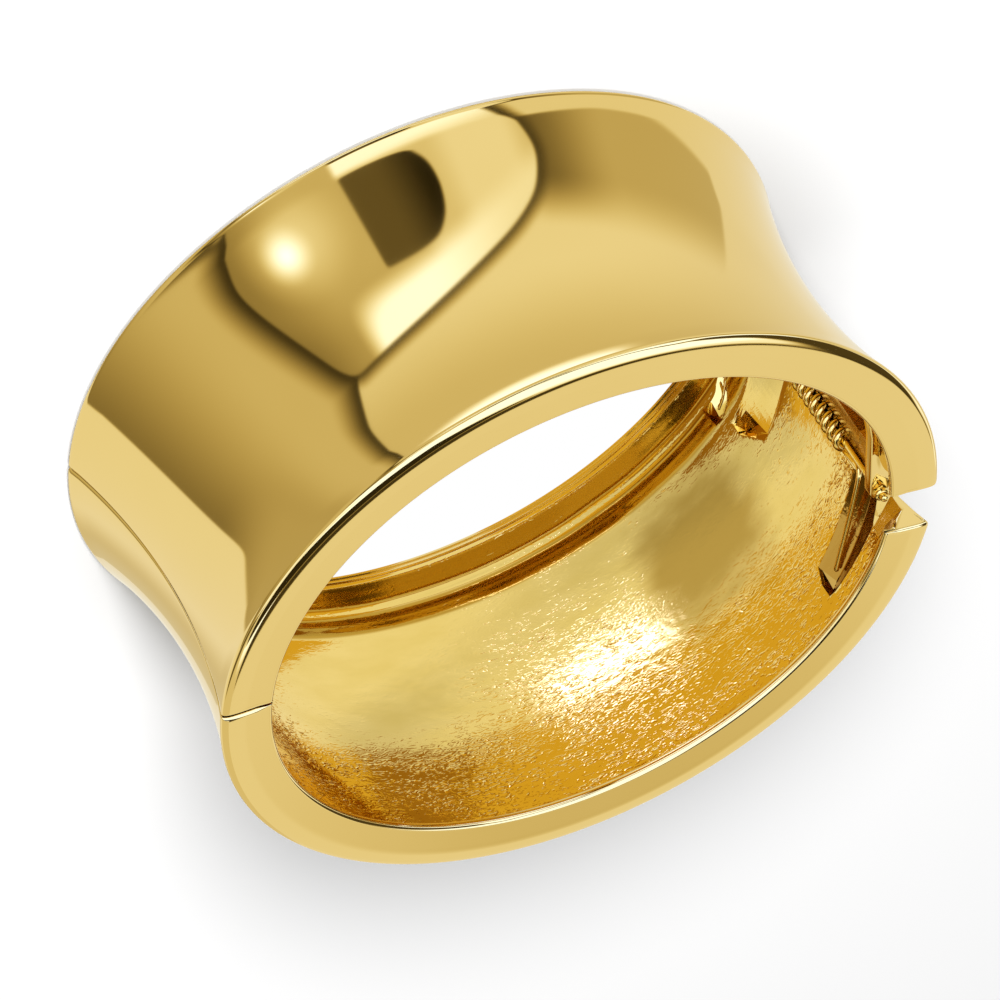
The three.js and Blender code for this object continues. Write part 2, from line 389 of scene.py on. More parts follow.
# Ends of the spring: tip of the upper leg, bends of the lower leg under the pin, and its tip.
UPPER_LEG_END = (28.75, 9.6, 7.2)
UNDER_PIN = [(30.7, -3.05, 25.4), (30.7, -3.05, 26.3), (30.6, -3.4, 26.7)]
LOWER_LEG_END = (27.95, -13.3, 28.3)

GROOVE_LIP = 0.22               # reach of a groove's rolled edge over the inside surface
GROOVE_BEND = 0.22              # share of a groove's wall that the rolled edge takes up

# Hollows in the lower half's inside: angle, heights of the bottom edge, both sides of the valley and the
# top edge, offset of the valley.
TOP_GROOVE = [(-4, 24.6, 26.3, 26.4, 30.1, 2.35), (-20, 25.8, 27.5, 27.6, 30.1, 2.35),
              (-31.5, 26.9, 28.5, 28.6, 30.1, 2.35), (-33, 28.6, 29.1, 29.2, 29.9, 2.35)]
BOTTOM_GROOVE = [(-4, 6.0, 10.2, 10.4, 11.9, 2.9), (-17, 7.0, 11.2, 11.3, 12.6, 2.9),
                 (-25.5, 7.9, 11.9, 12.0, 12.9, 2.7), (-29.5, 8.5, 9.2, 9.3, 9.9, 2.4)]
RIM_POCKET = [(-12, 1.6, 2.4, 2.5, 3.4, 2.35), (-24, 2.8, 3.6, 3.7, 4.9, 2.35),
              (-28, 3.7, 4.9, 5.0, 6.5, 2.35), (-31, 4.5, 5.7, 5.8, 7.1, 2.35),
              (-32.6, 5.4, 6.0, 6.1, 6.9, 2.35)]
END_HOLLOW = [(-3, 28.2, 28.9, 31.1, 32.6, 1.72), (-9.4, 28.4, 29.0, 31.1, 32.6, 1.76),
              (-11.5, 29.0, 29.6, 31.1, 32.4, 2.6), (-15, 29.8, 30.2, 31.0, 32.0, 3.55)]

# Wires in the pocket beside the far rim: angle and height of the points they pass, offset and radius.
POCKET_WIRES = [[(-14, 2.5), (-26.6, 3.5), (-28.4, 5.1), (-30.8, 5.6)],
                [(-14, 3.2), (-25.3, 4.2), (-28.4, 5.1)]]
POCKET_WIRE_OFFSET, POCKET_WIRE_R = 3.05, 0.13


def shell_ends():
    """End descriptions of the two halves: cut, sign of the inner side, angles to search, rounding."""
    def ends(outer, rim, cast):
        def rounding(offset, z, inside, into_o):
            outward = np.clip(into_o, 0, 1)
            at_rim = np.abs(into_o) < 0.5
            full = np.interp(offset, [RIM_BOTTOM - 0.8, RIM_BOTTOM - 0.2], [rim, cast])
            radius = np.where(at_rim & ~inside, full, cast)
            return np.where(into_o > 0, full + (outer(z) - full) * outward ** 2, radius)
        return rounding

    broad = ends(lambda z: np.full_like(z, 0.7), 0.25, 0.06)
    seam_upper = ends(lambda z: np.full_like(z, 0.1), 0.2, 0.05)
    seam_lower = ends(lambda z: np.interp(z, [0, 9, 18], [0.55, 0.4, 0.1]), 0.3, 0.05)
    turn = math.radians
    return {
        "upper": (
            (hinge_cut(UPPER_CUT_Y), 1, turn(-25), turn(60), broad),
            (seam_cut(SEAM_Y + SEAM_GAP / 2), 1, turn(120), turn(190), seam_upper),
        ),
        "lower": (
            (hinge_cut(LOWER_CUT_Y), -1, turn(300), turn(365), broad),
            (seam_cut(SEAM_Y - SEAM_GAP / 2), -1, turn(165), turn(240), seam_lower),
        ),
    }


def tube(name, path, radius, body, material, sides=12):
    """Round wire with domed ends along a list of points."""
    path = np.asarray(path, float)
    along = np.gradient(path, axis=0)
    along /= np.linalg.norm(along, axis=1)[:, None]
    side = np.cross(along[0], (0.3, 0.2, 0.9))
    rings = []
    for i, (point, forward) in enumerate(zip(path, along)):
        side = side - forward * (side @ forward)
        side /= np.linalg.norm(side)
        up = np.cross(forward, side)
        rings.append((point, forward, side, up, radius))
    first, last = rings[0], rings[-1]
    dome = [(0.96, 0.3), (0.7, 0.72)]
    head = [(first[0] - first[1] * radius * h, *first[1:4], radius * r) for r, h in reversed(dome)]
    tail = [(last[0] + last[1] * radius * h, *last[1:4], radius * r) for r, h in dome]
    points = []
    for point, _, side, up, r in head + rings + tail:
        for k in range(sides):
            t = 2 * math.pi * k / sides
            points.append(point + r * (math.cos(t) * side + math.sin(t) * up))
    count = len(head + rings + tail)
    faces = []
    for i in range(count - 1):
        for k in range(sides):
            n = (k + 1) % sides
            faces.append((i * sides + k, i * sides + n, (i + 1) * sides + n, (i + 1) * sides + k))
    faces.append(tuple(range(sides))[::-1])
    faces.append(tuple((count - 1) * sides + k for k in range(sides)))
    return new_piece(name, points, faces, body, [material])


def smooth_path(points, step):
    """Points about a step apart along a centripetal Catmull-Rom curve."""
    p = np.asarray(points, float)
    p = np.vstack([2 * p[0] - p[1], p, 2 * p[-1] - p[-2]])
    result = []
    for a, b, c, d in zip(p, p[1:], p[2:], p[3:]):
        t1 = np.linalg.norm(b - a) ** 0.5
        t2 = t1 + np.linalg.norm(c - b) ** 0.5
        t3 = t2 + np.linalg.norm(d - c) ** 0.5
        for t in np.linspace(t1, t2, max(2, round(np.linalg.norm(c - b) / step) + 1))[:-1]:
            ab = a + (b - a) * t / t1
            bc = b + (c - b) * (t - t1) / (t2 - t1)
            cd = c + (d - c) * (t - t2) / (t3 - t2)
            abc = ab + (bc - ab) * t / t2
            bcd = bc + (cd - bc) * (t - t1) / (t3 - t1)
            result.append(abc + (bcd - abc) * (t - t1) / (t2 - t1))
    result.append(p[-2])
    return result


def coil_point(turn):
    """Point of the coil's wire after that many turns."""
    angle = math.radians(COIL_FROM) + 2 * math.pi * turn
    rise = (COIL_HIGH - COIL_LOW) * turn / COIL_TURNS
    return (PIN_X + COIL_R * math.cos(angle), PIN_Y + COIL_R * math.sin(angle), COIL_LOW + rise)


def plate(name, outline, low, high, bevel, body, materials):
    """Flat plate between two heights with rounded edges."""
    n = len(outline)
    points = [(x, y, low) for x, y in outline] + [(x, y, high) for x, y in outline]
    faces = [tuple(range(n))[::-1], tuple(range(n, 2 * n))]
    faces += [(i, (i + 1) % n, (i + 1) % n + n, i + n) for i in range(n)]
    piece = new_piece(name, points, faces, body, materials)
    modifier = piece.modifiers.new("round", "BEVEL")
    modifier.width = bevel * MM
    modifier.segments = 3
    modifier.limit_method = "ANGLE"
    modifier.angle_limit = math.radians(32)
    bake_modifiers(piece)
    piece.data.shade_smooth()
    piece.data.set_sharp_from_angle(angle=math.radians(40))
    return piece


def turned(name, profile, x, y, body, material, sides=40):
    """Closed body turned about an upright axis: the profile is a closed list of (radius, z)."""
    n = len(profile)
    points = []
    for k in range(sides):
        t = 2 * math.pi * k / sides
        points += [(x + r * math.cos(t), y + r * math.sin(t), z) for r, z in profile]
    faces = []
    for k in range(sides):
        m = (k + 1) % sides
        for j in range(n):
            i = (j + 1) % n
            faces.append((k * n + j, m * n + j, m * n + i, k * n + i))
    return new_piece(name, points, faces, body, [material])


def arc(x, y, radius, start, end, steps):
    """Points of an arc about (x, y), from one angle to another in degrees."""
    turns = [math.radians(start + (end - start) * i / steps) for i in range(steps + 1)]
    return [(x + radius * math.cos(t), y + radius * math.sin(t)) for t in turns]


# ---------------------------------------------------------------- formulas in node trees

class Signal:
    """A number in a node tree, so that formulas can be written plainly."""

    def __init__(self, tree, socket):
        self.tree, self.socket = tree, socket

    def math(self, operation, *others):
        node = self.tree.nodes.new("ShaderNodeMath")
        node.operation = operation
        for place, value in zip(node.inputs, (self, *others)):
            if isinstance(value, Signal):
                self.tree.links.new(value.socket, place)
            else:
                place.default_value = value
        return Signal(self.tree, node.outputs[0])

    def __add__(self, other):
        return self.math("ADD", other)

    def __sub__(self, other):
        return self.math("SUBTRACT", other)

    def __mul__(self, other):
        return self.math("MULTIPLY", other)

    def __truediv__(self, other):
        return self.math("DIVIDE", other)

    def fade(self, start, stop):
        """1 up to start, falling smoothly to 0 at stop; or the other way if stop is below start."""
        node = self.tree.nodes.new("ShaderNodeMapRange")
        node.interpolation_type = "SMOOTHSTEP"
        low, high, values = (start, stop, (1, 0)) if start < stop else (stop, start, (0, 1))
        self.tree.links.new(self.socket, node.inputs["Value"])
        node.inputs["From Min"].default_value = low
        node.inputs["From Max"].default_value = high
        node.inputs["To Min"].default_value, node.inputs["To Max"].default_value = values
        return Signal(self.tree, node.outputs["Result"])


def lay(level, value, mask):
    """A card of some brightness laid over what is behind it."""
    if isinstance(value, Signal):
        return level + (value - level) * mask
    return level + (level * -1 + value) * mask


def card(azimuth, elevation, corners, rounding):
    """Distance in degrees from the edge of a convex card, negative inside. Corners run anticlockwise."""
    distance = None
    for (ax, ay), (bx, by) in zip(corners, corners[1:] + corners[:1]):
        length = math.hypot(bx - ax, by - ay)
        nx, ny = (by - ay) / length, (ax - bx) / length
        side = azimuth * nx + elevation * ny + -(ax * nx + ay * ny)
        distance = side if distance is None else distance.math("SMOOTH_MAX", side, rounding)
    return distance


def mound(azimuth, elevation, centre, reach):
    """Distance from the middle of an oval card, 1 at its edge."""
    x = (azimuth - centre[0]) / reach[0]
    y = (elevation - centre[1]) / reach[1]
    return (x * x + y * y).math("POWER", 0.5)


# ---------------------------------------------------------------- materials

def node_setup(name):
    """New material, its node tree and its main shader."""
    material = bpy.data.materials.new(name)
    material.use_nodes = True
    tree = material.node_tree
    return material, tree, tree.nodes["Principled BSDF"]


def polished_gold():
    """Mirror-polished plating with the faintest unevenness of the polish."""
    material, tree, shader = node_setup("polished_plating")
    shader.inputs["Metallic"].default_value = 1.0
    place = tree.nodes.new("ShaderNodeTexCoord")
    cloud = tree.nodes.new("ShaderNodeTexNoise")
    cloud.inputs["Scale"].default_value = 90.0
    cloud.inputs["Detail"].default_value = 2.0
    tint = tree.nodes.new("ShaderNodeValToRGB")
    tint.color_ramp.elements[0].color = (0.85, 0.645, 0.24, 1)
    tint.color_ramp.elements[1].color = (0.87, 0.67, 0.26, 1)
    gloss = tree.nodes.new("ShaderNodeMapRange")
    gloss.inputs["To Min"].default_value = 0.035
    gloss.inputs["To Max"].default_value = 0.065
    tree.links.new(place.outputs["Object"], cloud.inputs["Vector"])
    tree.links.new(cloud.outputs["Fac"], tint.inputs["Fac"])
    tree.links.new(cloud.outputs["Fac"], gloss.inputs["Value"])
    tree.links.new(tint.outputs["Color"], shader.inputs["Base Color"])
    tree.links.new(gloss.outputs["Result"], shader.inputs["Roughness"])
    return material


def cast_gold(name="cast_inside", rough=(0.05, 0.1), depth=0.000045, tone=(0.88, 0.655, 0.19)):
    """Plating over the rough casting of the inside: foil-like creases, calmer in places, with painted shade
    in a darker patch and in two bands beside the bottom rim.
    """
    material, tree, shader = node_setup(name)
    shader.inputs["Metallic"].default_value = 1.0
    place = tree.nodes.new("ShaderNodeTexCoord")
    split = tree.nodes.new("ShaderNodeSeparateXYZ")
    tree.links.new(place.outputs["Object"], split.inputs[0])
    x, y, z = (Signal(tree, split.outputs[k]) for k in range(3))
    angle = (y * (LENGTH / HEIGHT)).math("ARCTAN2", x) * (180 / math.pi)
    height = z / MM

    stretch = tree.nodes.new("ShaderNodeVectorMath")
    stretch.operation = "MULTIPLY"
    stretch.inputs[1].default_value = (1.0, 1.0, 2.5)
    creases = tree.nodes.new("ShaderNodeTexNoise")
    creases.noise_type = "RIDGED_MULTIFRACTAL"
    creases.inputs["Scale"].default_value = 1400.0
    creases.inputs["Detail"].default_value = 2.0
    creases.inputs["Roughness"].default_value = 0.5
    creases.inputs["Distortion"].default_value = 0.9
    cloud = tree.nodes.new("ShaderNodeTexNoise")
    cloud.inputs["Scale"].default_value = 190.0
    cloud.inputs["Detail"].default_value = 3.0
    tree.links.new(place.outputs["Object"], stretch.inputs[0])
    tree.links.new(stretch.outputs[0], creases.inputs["Vector"])
    tree.links.new(stretch.outputs[0], cloud.inputs["Vector"])

    # Zones of the inside, by angle round the ring and height.
    calm = mound(angle, height, (-112, 15), (18, 9)).fade(0.6, 1.2)
    cast_noise = Signal(tree, cloud.outputs["Fac"])
    # A darker patch of painted shade stands for a dark reflection; its creases are calmer too.
    outline = card(angle, height, [(-56, 8), (-36, 8), (-32, 15), (-36, 22), (-57, 22), (-61, 17)], 5)
    shaded_patch = (outline + cast_noise * 6 - 3).fade(-4.5, 3.0)
    # Two bands in the relief beside the bottom rim get painted shade (a darker colour) and weaker creases.
    deep = (height - 2.35).math("ABSOLUTE").fade(0.75, 1.0)
    deep = deep.math("MAXIMUM", (height - 6.2).math("ABSOLUTE").fade(0.85, 1.2))
    strength = (calm.math("MAXIMUM", shaded_patch) * -0.7 + 1.0) * (cast_noise.fade(0.62, 0.38) + 0.45)
    rough_zone = height.fade(23, 21.5).math("MAXIMUM", angle.fade(-138, -130))
    rough_spot = mound(angle, height, (-78, 17.5), (17, 5.5)).fade(0.5, 1.2) * 0.45
    rough_zone = rough_zone.math("MAXIMUM", rough_spot)
    strength = strength * (deep * -0.7 + 1.0) * (rough_zone * 0.55 + 0.45)
    relief = Signal(tree, creases.outputs["Fac"]) * strength
    bump = tree.nodes.new("ShaderNodeBump")
    bump.inputs["Strength"].default_value = 1.0
    bump.inputs["Distance"].default_value = depth
    tree.links.new(relief.socket, bump.inputs["Height"])

    tint = tree.nodes.new("ShaderNodeValToRGB")
    tint.color_ramp.elements[0].position = 0.3
    tint.color_ramp.elements[0].color = (tone[0] * 0.96, tone[1] * 0.95, tone[2] * 0.88, 1)
    tint.color_ramp.elements[1].position = 0.7
    tint.color_ramp.elements[1].color = (tone[0] * 1.03, tone[1] * 1.04, tone[2] * 1.1, 1)
    # Painted shade of the darker patch.
    patch_shade = tree.nodes.new("ShaderNodeMix")
    patch_shade.data_type = "RGBA"
    patch_shade.inputs["B"].default_value = (0.50, 0.32, 0.06, 1)
    # Painted shade of the two bands beside the bottom rim.
    shade = tree.nodes.new("ShaderNodeMix")
    shade.data_type = "RGBA"
    shade.inputs["B"].default_value = (0.55, 0.32, 0.04, 1)
    gloss = tree.nodes.new("ShaderNodeMapRange")
    gloss.inputs["To Min"].default_value = rough[0]
    gloss.inputs["To Max"].default_value = rough[1]
    tree.links.new(cloud.outputs["Fac"], tint.inputs["Fac"])
    tree.links.new(shaded_patch.socket, patch_shade.inputs["Factor"])
    tree.links.new(tint.outputs["Color"], patch_shade.inputs["A"])
    tree.links.new(cloud.outputs["Fac"], gloss.inputs["Value"])
    tree.links.new(deep.socket, shade.inputs["Factor"])
    tree.links.new(patch_shade.outputs["Result"], shade.inputs["A"])
    tree.links.new(shade.outputs["Result"], shader.inputs["Base Color"])
    tree.links.new(gloss.outputs["Result"], shader.inputs["Roughness"])
    tree.links.new(bump.outputs["Normal"], shader.inputs["Normal"])
    return material


# ---------------------------------------------------------------- the bangle

POLISHED = polished_gold()
CAST = cast_gold()
# The walls of the upper groove and the seam's cut faces take a darker colour: painted shade.
SHADED_GROOVE = cast_gold("groove_walls_painted_shade", (0.08, 0.16), 0.00002, (0.42, 0.22, 0.03))
SMOOTH = cast_gold("smooth_casting", (0.05, 0.1), 0.000012)
# The hollow beside the hinge end and the cover behind the spring take a darker colour: painted shade.
SHADED_HOLLOW = cast_gold("hollow_walls_painted_shade", (0.16, 0.24), 0.000012, (0.60, 0.37, 0.07))
COILED = cast_gold("spring_wire", (0.1, 0.17), 0.000004)
WIRE = cast_gold("plated_wire", (0.06, 0.12), 0.000006)
SHELL_MATERIALS = [POLISHED, CAST, SHADED_GROOVE, SMOOTH, SHADED_HOLLOW]


def groove_cutter(rows, material):
    """Cutter of a V groove whose edges roll over onto the inside surface."""
    rows = np.array(rows, float)
    angles = np.concatenate([np.linspace(a, b, max(2, round(abs(b - a) / 1.2)))[:-1]
                             for a, b in zip(rows[:, 0], rows[1:, 0])] + [rows[-1:, 0]])
    sections = []
    for angle in angles:
        row = [np.interp(-angle, -rows[:, 0], rows[:, k]) for k in range(1, 6)]
        bottom, first, second, top, deepest = row
        points = []
        for edge, valley, way in ((bottom, first, -1), (top, second, 1)):
            wall = np.array([edge + (valley - edge) * GROOVE_BEND, INSIDE + (deepest - INSIDE) * GROOVE_BEND])
            corner = np.array([edge, INSIDE])
            lip = np.array([edge + way * GROOVE_LIP, INSIDE + 0.07])
            bend = [wall * (1 - t) ** 2 + corner * 2 * t * (1 - t) + lip * t * t
                    for t in np.linspace(0, 1, 5)]
            side = bend + [np.array([lip[0] + way * 0.25, INSIDE + 0.5]), np.array([lip[0], INSIDE + 1.3])]
            points.append(side)
        outline = points[0][::-1] + [np.array([z, deepest]) for z in (first, second)] + points[1]
        sections.append([(*oval(math.radians(angle), o), z) for z, o in outline])
    n = len(sections[0])
    vertices = [p for section in sections for p in section]
    faces = [tuple(range(n))[::-1], tuple((len(sections) - 1) * n + k for k in range(n))]
    for i in range(len(sections) - 1):
        faces += [(i * n + k, i * n + (k + 1) % n, (i + 1) * n + (k + 1) % n, (i + 1) * n + k)
                  for k in range(n)]
    mesh = bpy.data.meshes.new("cutter")
    mesh.from_pydata((np.array(vertices) * MM).tolist(), [], faces)
    mesh.materials.append(material)
    outwards(mesh)
    cutter = bpy.data.objects.new("cutter", mesh)
    bpy.context.scene.collection.objects.link(cutter)
    return cutter


ENDS = shell_ends()
half_shell("upper_shell", "upper", "upper_half", *ENDS["upper"], SHELL_MATERIALS)
lower_shell = half_shell("lower_shell", "lower", "lower_half", *ENDS["lower"], SHELL_MATERIALS)
carve(lower_shell, [groove_cutter(TOP_GROOVE, SHADED_GROOVE), groove_cutter(BOTTOM_GROOVE, SMOOTH),
                    groove_cutter(RIM_POCKET, CAST), groove_cutter(END_HOLLOW, SHADED_HOLLOW)])


def cut_height(at_pin, x):
    """Height at x of the slanted cut that has the given height at the pin."""
    return at_pin + CUT_SLOPE * (x - PIN_X)


def ear_outline():
    """Strap on the upper half's inside wall that ends round about the pin."""
    end = arc(PIN_X, PIN_Y, KNUCKLE_R, 180, 360, 14)
    return end + [(32.3, cut_height(UPPER_CUT_Y, 32.3)), (32.3, 4), (30.3, 9), (29.0, 8.6), (29.6, 5)]


def lug_outline():
    """Block on the lower half's inside wall, rounded towards the outside."""
    nose = arc(31.45, -3.35, 0.75, -25, 80, 6)
    return nose + [(30.3, -1.75), (29.95, -1.95), (29.7, -5.2), (29.4, -8), (31.6, -8), (31.8, -4.9)]


def cover_outline(start):
    """Block round the back and top of the spring from that angle, rising into the upper half's cut end."""
    outer = arc(PIN_X, PIN_Y, COVER["outer"], start, COVER["to"], 8)
    inner = arc(PIN_X, PIN_Y, COVER["inner"], COVER["top"], start, 14)
    corners = [(COVER_BACK, COVER_HEIGHT), (COVER_SIDE, COVER_HEIGHT), (COVER_SIDE, inner[0][1])]
    return outer + corners + inner


# The cover is given the darker hollow-wall colour: painted shade behind the spring.
for name, start, low, high in COVER_PARTS:
    plate(name, cover_outline(start), low, high, 0.06, "upper", [SHADED_HOLLOW])
for i, (low, high) in enumerate(EARS):
    plate(f"ear_{i + 1}", ear_outline(), low, high, 0.14, "upper", [POLISHED])
plate("lug_bottom", lug_outline(), *BOTTOM_LUG, 0.14, "lower", [CAST])

coil_turns = COIL_TURNS + (COIL_TO - COIL_FROM) / 360
coil = [coil_point(t) for t in np.linspace(0, coil_turns, round(30 * coil_turns))]
tail = smooth_path([coil[-8], coil[-1], *UNDER_PIN, LOWER_LEG_END], 0.25)
spring = tube("spring_coil", coil, COIL_WIRE_R, "lower", COILED)
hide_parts("hinge_spring")
tube("spring_lower_leg", tail, LOWER_LEG_R, "lower", WIRE)
leg = [coil_point(0.02), coil_point(0), coil_point(-0.03)]
tube("spring_upper_leg", smooth_path([*leg, UPPER_LEG_END], 0.3), WIRE_R, "upper", WIRE)

pin = tube("pin", [(PIN_X, PIN_Y, z) for z in np.linspace(PIN_LOW, PIN_HIGH, 40)], PIN_R, "lower", WIRE, 24)
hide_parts("hinge_pin")

inner, outer, low, high = RING["inner"], RING["outer"], RING["low"], RING["high"]
rounded = [(outer, high - 0.25), (outer - 0.1, high - 0.06), (outer - 0.2, high), (inner + 0.06, high - 0.04)]
turned("pin_ring", [(inner, low), (outer, low), *rounded, (inner, high - 0.15)], PIN_X, PIN_Y, "lower", WIRE)

for i, path in enumerate(POCKET_WIRES):
    track = [(*oval(math.radians(angle), POCKET_WIRE_OFFSET), z) for angle, z in path]
    tube(f"pocket_wire_{i + 1}", smooth_path(track, 0.25), POCKET_WIRE_R, "lower", WIRE)


# ---------------------------------------------------------------- studio

# The cards' elevations are drawn a little stretched and shifted, in degrees.
ELEVATION_STRETCH, ELEVATION_SHIFT = 1.09, 3.4

# Outlines of the cards that mirror in the metal: azimuth and elevation of their corners, anticlockwise.
SOFTBOX = [(-36, 3), (-41, -6), (-45.5, -15), (-45, -21), (-42, -29), (-35, -45), (-31, -48), (-20, -46.3),
           (-8, -44.5), (5, -41), (20, -36), (32, -30.5), (38.5, -25.5), (41.5, -19), (39.5, -13), (33, -6),
           (22, 1), (10, 4), (-20, 5)]
SHEET = [(-30, -44), (-33, -49), (-36.5, -52.5), (-39, -57), (-40, -63), (-39, -95), (220, -95), (220, -44)]
GREY_PANEL = [(94, -44), (101.3, -33), (100, -28.5), (92.3, -24.7), (78.6, -19), (61, -14), (20, -9),
              (20, -60), (80, -60)]
WINDOW = [(-7.5, -29.5), (3, -29.5), (9, -28), (13, -24), (14.8, -18), (14, -13), (10, -9), (3, -7.5),
          (-7.5, -7.5)]

FLOOR_DROP, SHEET_DROP = 0.00002, 0.00001   # metres from the bangle down to the floor and to the sheet

# Glowing sheet in the opening, painted light: how far its edge lies under the rim, then for red, green and
# blue each the glow of its orange surround, its brown side of painted shade, its yellow corner and its white
# spot of painted highlight.
SHEET_OFFSET = 2.5
SHEET_GLOW_TONES = [(0.76, 0.36, 1.2, 3.4), (0.50, 0.18, 1.1, 3.8), (0.07, 0.02, 0.6, 9.0)]

# Lamps: name, place and width in metres, watts.
LAMPS = [("key", (-0.24, 0.783, 0.574), 0.28, 10.2), ("fill", (-0.15, 0.22, 0.96), 0.45, 4.4)]


def studio_level(azimuth, elevation):
    """Brightness of what the polished metal sees, by azimuth from +Y towards +X and elevation."""
    softbox = card(azimuth, elevation, SOFTBOX, 3)
    sheet = card(azimuth, elevation, SHEET, 1)

    # A warm wall on the left that darkens towards the softbox and the sheet below it.
    wall = azimuth.fade(-56, -116) * 0.48 + 0.235
    wall = lay(wall, 0.55, elevation.fade(-60, -44) * azimuth.fade(-90, -65))
    wall = lay(wall, 0.05, softbox.math("SMOOTH_MIN", sheet, 1).fade(0, 11))
    pale = card(azimuth, elevation, [(-104, 30), (-215, 30), (-215, -56), (-150, -57), (-125, -56),
                                     (-109, -52.5)], 5)
    wall = lay(wall, 0.95, pale.fade(-0.5, 0.7))
    wall = lay(wall, 0.72, azimuth.fade(-168, -150))

    # The pale sheet in front, a darker one on its right and the bright floor straight below.
    front = elevation.fade(-40, -66) * 0.22 - azimuth.fade(120, 50) * 0.08 + 0.74
    front = lay(front, 1.4, (elevation - azimuth * 0.12).fade(-75, -71) * azimuth.fade(58, 74))
    grey = azimuth.fade(64, 40) * 0.42 + 0.2
    front = lay(front, 0.9, (elevation + azimuth * 0.35).fade(6, 0))
    panel = card(azimuth, elevation, GREY_PANEL, 1)
    grey_mask = panel.fade(-0.7, 0.7) * azimuth.fade(40, 30)
    front = lay(front, grey, grey_mask * (elevation + azimuth * 0.2).fade(-15, -27))
    front = lay(front, 0.08, softbox.fade(0, 4))
    # To the right of azimuth -7 the front takes the wall's place beside the sheet too.
    level = lay(wall, front, (sheet.fade(-0.5, 0.5) + azimuth.fade(-6, -8)).math("MINIMUM", 1.0))

    level = lay(level, studio_lift(azimuth, elevation), elevation.fade(-1, -3))
    skirting = (elevation + 2).math("ABSOLUTE").fade(0.4, 3)
    level = lay(level, 0.13, skirting * azimuth.fade(-44, -38) * azimuth.fade(-104, -112))
    level = lay(level, 0.06, softbox.fade(0, 3) * elevation.fade(-8, -12))
    return lay(level, lit_softbox(azimuth, elevation), softbox.fade(-0.6, 0.4))


def studio_lift(azimuth, elevation):
    """Above eye level: pale haze, a white ceiling, a brown flag on the right and dark ones overhead."""
    sky = azimuth.fade(-112, -122) * 0.4 + 0.8
    sky = lay(sky, 0.72, elevation.fade(8, 14))
    sky = lay(sky, 1.15, elevation.fade(42, 32))
    sky = lay(sky, 0.8, azimuth.fade(-112, -104) * elevation.fade(56, 60))
    sky = lay(sky, 1.4, azimuth.fade(70, 85) * azimuth.fade(-45, -60) * elevation.fade(62, 68))
    sky = lay(sky, 1.4, azimuth.fade(140, 152) * elevation.fade(63, 58))
    gap = azimuth - elevation * 0.35 - elevation * elevation * 0.0091 - 6.3
    sky = lay(sky, 0.05, gap.math("ABSOLUTE").fade(3, 6) * elevation.fade(58, 64))
    flag = card(azimuth, elevation, [(48, 20), (75, 10), (105, 20), (130, 31), (150, 42), (142, 52),
                                     (112, 60), (70, 60), (50, 50)], 5)
    sky = lay(sky, 0.08, flag.fade(-2, 2))
    back = card(azimuth, elevation, [(136, -20), (215, -20), (215, 46), (190, 54), (150, 53), (136, 42)], 6)
    sky = lay(sky, 0.06, (back + azimuth.fade(158, 144) * -7).fade(0, 8) * elevation.fade(30, 20))
    # A soft shade inside the pale card darkens the lower half's rim.
    shaded = mound(azimuth, elevation, (158.2, 41), (3.4, 3)).fade(0.2, 1.2)
    sky = lay(sky, shaded * -0.21 + 0.92, back.fade(-1, 0.5))
    behind = card(azimuth, elevation, [(-200, 68), (-140, 60), (-85, 57), (-85, 110), (-200, 110)], 6)
    above = card(azimuth, elevation, [(150, 63), (200, 66), (200, 110), (150, 110)], 6)
    sky = lay(sky, 0.03, behind.math("MINIMUM", above).fade(-1, 1))
    side = card(azimuth, elevation, [(-126, 8), (-94, 8), (-94, 44), (-126, 44)], 6)
    return lay(sky, 0.15, side.fade(-3, 2))


def lit_softbox(azimuth, elevation):
    """The softbox in front: a lamp spot, a bright lower band, a right lobe and a dark window."""
    level = azimuth.fade(-20, -45) * 0.34 + elevation.fade(-24, -42) * 0.12 + 0.22
    level = lay(level, 0.98, mound(azimuth, elevation, (-25, -15), (17, 14)).fade(0.1, 1.05) * 0.9)
    level = lay(level, 1.5, mound(azimuth, elevation, (-28.5, -16), (8.5, 7.5)).fade(0, 1))
    lobe = card(azimuth, elevation, [(9, -36), (50, -36), (50, 12), (-2, 12), (-2, -7)], 3)
    level = lay(level, azimuth.fade(22, 14) * 0.14 - azimuth.fade(42, 34) * 0.2 + 0.84, lobe.fade(-3, 3))
    reach = azimuth + 22
    band = (elevation - reach * reach * 0.0036 + 34).math("SMOOTH_MAX", azimuth * -1 - 21, 14)
    level = lay(level, azimuth.fade(35, 0) * -0.28 + 1.35, band.fade(-3, 4))
    level = lay(level, 1.3, elevation.fade(-4, -9) * azimuth.fade(-7, -9))
    level = lay(level, 1.3, elevation.fade(1, -1) * azimuth.fade(-30, -38))
    window = card(azimuth, elevation, WINDOW, 2)
    return lay(level, azimuth.fade(14, 0) * -0.12 + 0.14, window.fade(-0.4, 0.6))


